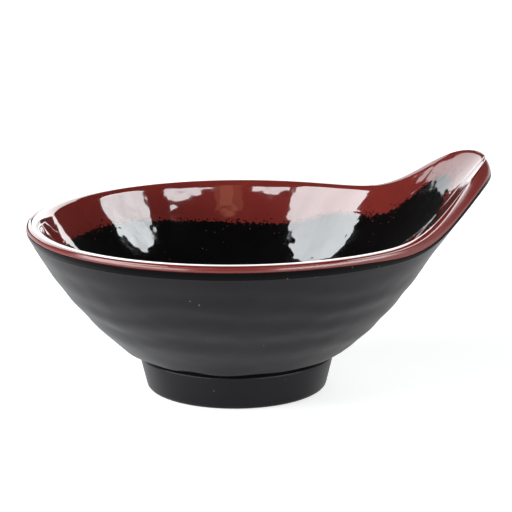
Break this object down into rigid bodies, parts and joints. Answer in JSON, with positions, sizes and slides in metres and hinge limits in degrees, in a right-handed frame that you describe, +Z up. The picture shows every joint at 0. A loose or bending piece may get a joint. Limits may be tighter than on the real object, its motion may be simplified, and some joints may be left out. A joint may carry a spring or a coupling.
{
  "type": "lug bowl",
  "caption": "Round flared bowl on a foot ring with an upswept side lug to hold it by; matt black shell outside, glossy red liner inside with a black printed well.",
  "frame": {"origin": "under the middle of the whole length and width, on the plane the foot ring stands on", "axes": "+Z up, +X from the bowl towards its lug, +Y across; the bowl's own axis is upright at x = -8.19 mm"},
  "size_m": [0.1594, 0.143, 0.0796],
  "materials": {
    "outer_shell": "matt black moulded melamine with soft throwing rings, polished where the edge is trimmed",
    "inner_liner": "dark red melamine, glossy and slightly uneven inside, satin on the trimmed edge",
    "decal_overlay": "glossy black printed film with a ragged speckled edge, fused flush with the liner"
  },
  "bodies": {
    "root": {"outer_shell": "outer_shell", "inner_liner": "inner_liner", "decal_overlay": "decal_overlay"}
  },
  "joints": []
}
